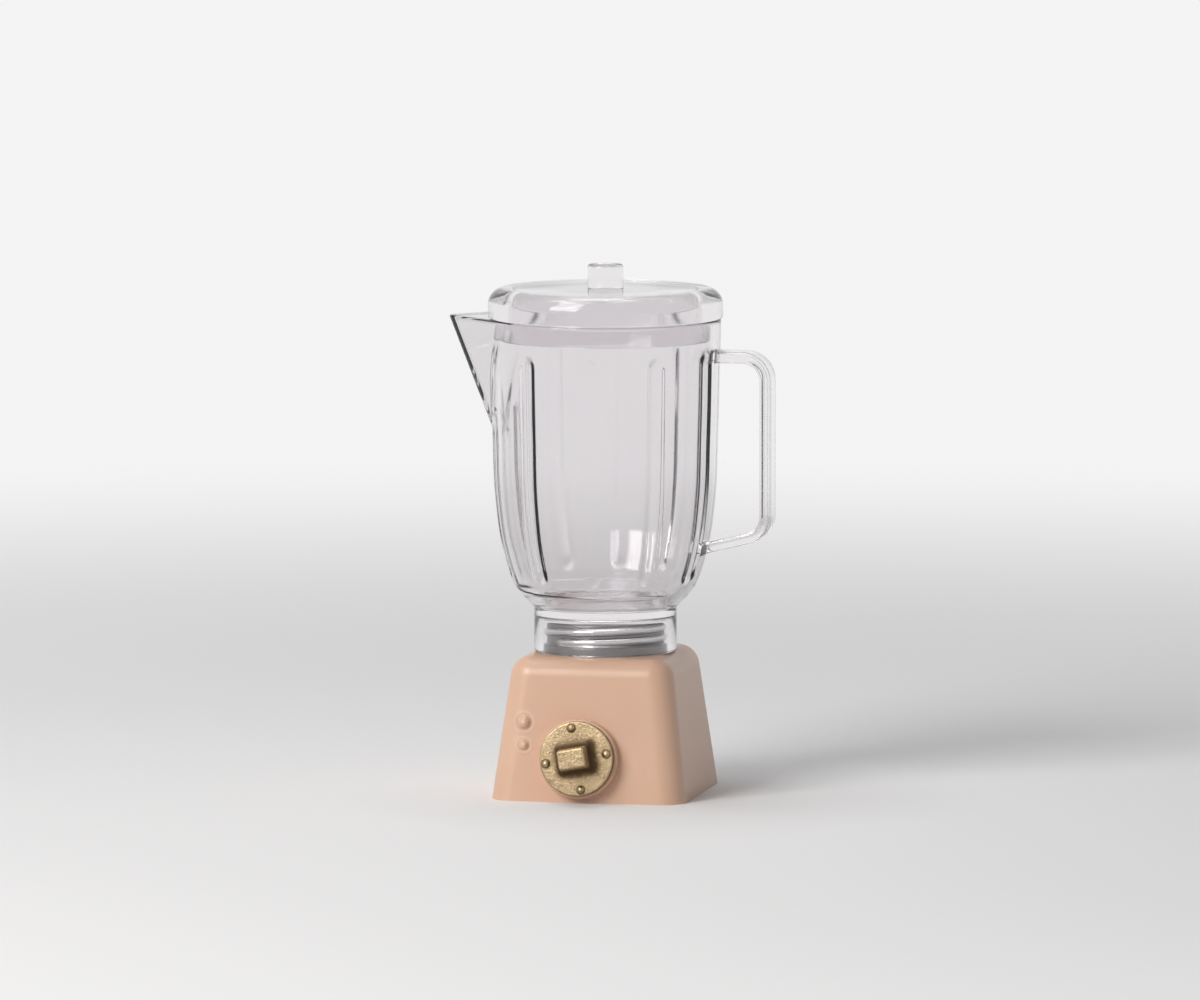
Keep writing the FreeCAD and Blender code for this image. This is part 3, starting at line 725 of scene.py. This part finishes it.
def make_handle(material):
    """A flat bar with round corners, drawn along two arms, a grip and a bend at each corner."""
    half_width, half_bar, corner = HANDLE_WIDTH / 2, HANDLE_THICKNESS / 2, HANDLE_ROUND
    steps = HANDLE_CORNER_STEPS
    grip_x = HANDLE_REACH - half_bar
    start = Vector((RIM_RADIUS - JUG_WALL, 0.0, HANDLE_ARM_Z))
    foot = Vector((HANDLE_FOOT[0], 0.0, HANDLE_FOOT[1]))
    knee = Vector((grip_x, 0.0, HANDLE_FOOT[1] + HANDLE_FOOT_RISE))
    slope = math.atan2(knee.z - foot.z, knee.x - foot.x)
    section = []
    lay(section, corner, (half_width - corner, half_bar - corner), 0, 90, steps)
    lay(section, corner, (corner - half_width, half_bar - corner), 90, 180, steps)
    lay(section, corner, (corner - half_width, corner - half_bar), 180, 270, steps)
    lay(section, corner, (half_width - corner, corner - half_bar), 270, 360, steps)
    bar = bmesh.new()
    ring = [bar.verts.new((start + Vector((0.0, y, z))) * MM) for y, z in section]
    edges = [bar.edges.new(pair) for pair in zip(ring, ring[1:] + ring[:1])]
    first = list(edges)

    def corners_of(edges):
        """The points of some edges."""
        return list({vertex for edge in edges for vertex in edge.verts})

    def run(edges, vector, steps):
        """Draws edges straight out and returns the far ones."""
        for _ in range(steps):
            made = bmesh.ops.extrude_edge_only(bar, edges=edges)["geom"]
            edges = [part for part in made if isinstance(part, bmesh.types.BMEdge)]
            edges = [edge for edge in edges if len(edge.link_faces) == 1]
            bmesh.ops.translate(bar, verts=corners_of(edges), vec=vector / steps * MM)
        return edges

    def bend(edges, centre, angle, steps):
        """Draws edges out round a centre and returns the far ones."""
        made = bmesh.ops.spin(bar, geom=corners_of(edges) + edges, cent=centre * MM, axis=(0, 1, 0),
                              angle=angle, steps=steps)
        return [part for part in made["geom_last"] if isinstance(part, bmesh.types.BMEdge)]

    # The upper arm turns down through a right angle, and the foot's slope ends the second bend
    edges = run(edges, Vector((grip_x - HANDLE_BEND - start.x, 0, 0)), HANDLE_ARM_STEPS)
    centre = Vector((grip_x - HANDLE_BEND, 0, HANDLE_ARM_Z - HANDLE_BEND))
    edges = bend(edges, centre, math.pi / 2, HANDLE_BEND_STEPS)
    turn = math.pi / 2 - slope
    reach = HANDLE_BEND * math.tan(turn / 2)
    drop = HANDLE_ARM_Z - HANDLE_BEND - (knee.z + reach)
    edges = run(edges, Vector((0, 0, -drop)), HANDLE_GRIP_STEPS)
    edges = bend(edges, Vector((grip_x - HANDLE_BEND, 0, knee.z + reach)), turn, HANDLE_KNEE_STEPS)
    away = Vector((math.cos(slope), 0, math.sin(slope)))
    edges = run(edges, -away * ((knee - foot).length - reach), HANDLE_ARM_STEPS)
    # Both ends are fitted to the bowl and flare a little where they join it
    outside = dense_curve(BOWL_OUTLINE, CURVE_STEPS)
    for end in (first, edges):
        tips = [vertex for edge in end for vertex in edge.verts]
        middle = sum((vertex.co for vertex in tips), Vector()) / len(tips)
        for vertex in set(tips):
            y, z = (middle + (vertex.co - middle) * HANDLE_FLARE).yz / MM
            wall = math.sqrt(radius_at(outside, z) ** 2 - y * y)
            vertex.co = Vector((wall + HANDLE_STANDOFF, y, z)) * MM
    bmesh.ops.holes_fill(bar, edges=bar.edges, sides=0)
    finished(bar, "jug_handle_bar", material, "jug", ["jug_handle"])


def make_lid(material):
    """Cap and skirt, turned in one piece, with soft edges."""
    skirt_in = SKIRT_RADIUS - SKIRT_WALL
    inside_z = LID_TOP_Z - LID_WALL
    low = RIM_Z - SKIRT_DEPTH
    hole = SPIGOT_RADIUS + SPIGOT_GAP
    outline = [(hole, LID_TOP_Z), (LID_RING, LID_TOP_Z)]
    lay(outline, LID_SHOULDER, (LID_RADIUS - LID_SHOULDER, LID_TOP_Z - LID_SHOULDER), 90, 0, 16)
    lay(outline, LID_EDGE, (LID_RADIUS - LID_EDGE, RIM_Z + LID_EDGE), 0, -90, 4)
    outline += [(SKIRT_RADIUS + SKIRT_CREASE, RIM_Z), (SKIRT_RADIUS, RIM_Z - SKIRT_CREASE)]
    lay(outline, LID_EDGE, (SKIRT_RADIUS - LID_EDGE, low + LID_EDGE), 0, -90, 4)
    lay(outline, LID_EDGE, (skirt_in + LID_EDGE, low + LID_EDGE), -90, -180, 4)
    inner_corner = (skirt_in - LID_INNER_SHOULDER, inside_z - LID_INNER_SHOULDER)
    lay(outline, LID_INNER_SHOULDER, inner_corner, 0, 90, 8)
    outline += [(LID_RING, inside_z), (hole, inside_z), outline[0]]
    finished(turned(outline, LID_COLUMNS), "lid_cap", material, "lid", ["lid"])


def make_lid_knob(material):
    """The plug: a round knob with soft edges, and the spigot that fills the lid's hole."""
    low, top = LID_TOP_Z - LID_WALL, LID_TOP_Z + KNOB_HEIGHT
    outline = [(0.0, low), (SPIGOT_RADIUS, low), (SPIGOT_RADIUS, LID_TOP_Z)]
    outline += [(KNOB_RADIUS - KNOB_FOOT, LID_TOP_Z)]
    lay(outline, KNOB_FOOT, (KNOB_RADIUS - KNOB_FOOT, LID_TOP_Z + KNOB_FOOT), -60, 0, 2)
    lay(outline, KNOB_EDGE, (KNOB_RADIUS - KNOB_EDGE, top - KNOB_EDGE), 0, 90, 8)
    outline += [(KNOB_RADIUS * 0.5, top), (0.0, top)]
    knob = turned(outline, KNOB_COLUMNS)
    finished(knob, "lid_knob_plug", material, "lid", ["lid_knob"])


def thread_height(angle, z):
    """How far the thread's ridge stands out of the socket's wall at a place."""
    full_turn = 2 * math.pi
    turned_by = ((angle - THREAD_START_ANGLE) % full_turn) / full_turn
    height = 0.0
    for turn in (turned_by, turned_by + 1.0):
        end = min(turn, THREAD_TURNS - turn) / THREAD_RUN_IN
        if end > 0.0:
            away = abs(z - THREAD_START_Z - THREAD_PITCH * turn) / (THREAD_WIDTH / 2)
            rise = max(1.0 - away * away, 0.0) ** THREAD_FULLNESS
            height = max(height, rise * THREAD_DEPTH * min(end, 1.0))
    return height


def make_socket(material):
    """The threaded boss: a turned shell with a flange, and one ridge winding up its wall."""
    crest = SOCKET_RADIUS + THREAD_DEPTH
    low, high = SOCKET_FLANGE_Z + SOCKET_EDGE, SOCKET_TOP_Z - SOCKET_EDGE
    outline = [(0.0, SOCKET_TOP_Z), (SOCKET_RADIUS * 0.5, SOCKET_TOP_Z)]
    lay(outline, SOCKET_EDGE, (SOCKET_RADIUS - SOCKET_EDGE, high), 90, 0, 4)
    outline += [(SOCKET_RADIUS, high + (low - high) * row / SOCKET_ROWS) for row in range(1, SOCKET_ROWS)]
    outline += [(SOCKET_RADIUS, low)]
    outline += [(crest - FLANGE_EDGE, SOCKET_FLANGE_Z + FLANGE_STEP)]
    lay(outline, FLANGE_ROUND, (crest - FLANGE_ROUND, SOCKET_FLANGE_Z - FLANGE_ROUND), 75, 0, 3)
    outline += [(crest, SEAT_Z + FLANGE_BEVEL), (crest - FLANGE_BEVEL, SEAT_Z)]
    outline += [(SOCKET_BORE, SEAT_Z), (SOCKET_BORE, SOCKET_CEILING_Z)]
    outline += [(SOCKET_PILLAR, SOCKET_CEILING_Z), (SOCKET_PILLAR, SEAT_Z), (SOCKET_HOLE, SEAT_Z)]
    outline += [(SOCKET_HOLE, SOCKET_HOLE_TOP_Z), (0.0, SOCKET_HOLE_TOP_Z)]
    boss = turned(outline, SOCKET_COLUMNS)
    for vertex in boss.verts:
        x, y, z = vertex.co / MM
        radius = math.hypot(x, y)
        if radius > SOCKET_RADIUS - WALL_TOLERANCE and z > THREAD_FLOOR_Z:
            vertex.co.xy *= (radius + thread_height(math.atan2(y, x), z)) / radius
    finished(boss, "jug_socket_boss", material, "base", ["jug_socket"])


def smooth_copy(node, material, body):
    """The node's own shape, with its loose triangles joined and its round faces shaded smooth."""
    made = bmesh.new()
    made.from_mesh(frame["nodes"][node].data)
    bmesh.ops.remove_doubles(made, verts=made.verts, dist=COPY_MERGE * MM)
    piece = finished(made, node + "_finished", material, body, [node], COPY_SHARP_ANGLE)
    weighted = piece.modifiers.new("even_shading", "WEIGHTED_NORMAL")
    weighted.keep_sharp = True
    weighted.weight = COPY_NORMAL_WEIGHT


def make_stage():
    """A pale floor that fades into the background, and keeps the object's shadow near it."""
    floor_mesh = bmesh.new()
    bmesh.ops.create_grid(floor_mesh, x_segments=1, y_segments=1, size=STAGE_SIZE)
    data = bpy.data.meshes.new("floor")
    floor_mesh.to_mesh(data)
    floor_mesh.free()
    floor = bpy.data.objects.new("floor", data)
    bpy.context.scene.collection.objects.link(floor)
    finish = Finish("floor_paper")
    x, y, _ = finish.split(finish.objects)
    fade = finish.ramp(diagonal(x, y), *STAGE_FADE)
    finish.set(Base_Color=STAGE_COLOUR, Roughness=0.9, Specular_IOR_Level=0.1)
    glow = finish.node("ShaderNodeEmission", {}, BACKDROP_COLOUR)
    paper = Value(finish, finish.shader.outputs[0])
    surface = finish.blend(fade * finish.seen(), paper, glow)
    finish.feed(finish.tree.nodes["Material Output"].inputs[0], surface)
    data.materials.append(finish.material)


def area_lamp(name, place, size, power, colour=(1.0, 1.0, 1.0)):
    """A soft box that faces the object."""
    lamp = bpy.data.lights.new(name, "AREA")
    lamp.shape = "RECTANGLE"
    lamp.size, lamp.size_y = size
    lamp.energy = power
    lamp.color = colour
    made = bpy.data.objects.new(name, lamp)
    made.location = place
    made.rotation_euler = (Vector(LAMP_TARGET) - Vector(place)).to_track_quat("-Z", "Y").to_euler()
    bpy.context.scene.collection.objects.link(made)


def make_light():
    """A soft box at the front left, another above, and a weak even light from all round."""
    area_lamp("key", KEY_PLACE, KEY_SIZE, KEY_POWER, KEY_COLOUR)
    area_lamp("top", TOP_PLACE, TOP_SIZE, TOP_POWER)
    world = bpy.data.worlds.new("studio")
    bpy.context.scene.world = world
    world.use_nodes = True
    sky = Nodes(world.node_tree)
    light = sky.tree.nodes["Background"]
    sky.feed(light.inputs["Color"], WORLD_COLOUR)
    sky.feed(light.inputs["Strength"], WORLD_STRENGTH)
    backdrop = sky.node("ShaderNodeBackground", {}, BACKDROP_COLOUR)
    surface = sky.blend(sky.seen(), Value(sky, light.outputs[0]), backdrop)
    sky.feed(sky.tree.nodes["World Output"].inputs[0], surface)


def make_camera():
    """The photograph's view, with the object where it lies in the photograph."""
    data = bpy.data.cameras.new("camera")
    data.sensor_fit = "HORIZONTAL"
    data.sensor_width = SENSOR
    data.lens = FOCAL_PIXELS / FRAME_WIDTH * SENSOR
    data.clip_start, data.clip_end = CAMERA_CLIP
    camera = bpy.data.objects.new("camera", data)
    right = Vector((math.cos(CAMERA_AZIMUTH), math.sin(CAMERA_AZIMUTH), 0.0))
    target = right * AIM_ACROSS * MM + Vector((0.0, 0.0, AIM_HEIGHT * MM))
    back = Vector((math.sin(CAMERA_AZIMUTH) * math.cos(CAMERA_ELEVATION),
                   -math.cos(CAMERA_AZIMUTH) * math.cos(CAMERA_ELEVATION), math.sin(CAMERA_ELEVATION)))
    camera.location = target + back * CAMERA_DISTANCE
    camera.rotation_euler = (-back).to_track_quat("-Z", "Y").to_euler()
    bpy.context.scene.collection.objects.link(camera)
    bpy.context.scene.camera = camera


def dress():
    """Makes every piece in its material."""
    coral, gold, steel = coral_paint(), antique_gold(), plain_steel()
    clear, silver = clear_plastic(), silver_thread()
    make_jug(clear)
    make_handle(clear)
    make_lid(clear)
    make_lid_knob(clear)
    smooth_copy("base_housing", coral, "base")
    make_socket(silver)
    smooth_copy("dial_plate", gold, "dial")
    smooth_copy("dial_knob", gold, "dial")
    smooth_copy("base_plate", coral_plastic(), "base")
    for name in sorted(frame["nodes"]):
        if name.startswith("dial_rivet"):
            smooth_copy(name, gold, "dial")
        if name.startswith("base_screw") or name == "socket_screw":
            smooth_copy(name, steel, "base")
        if name in ("dial_spring_washer", "dial_clip"):
            smooth_copy(name, steel, "dial")


dress()
make_stage()
make_light()
make_camera()
bpy.context.scene.view_settings.view_transform = "Standard"
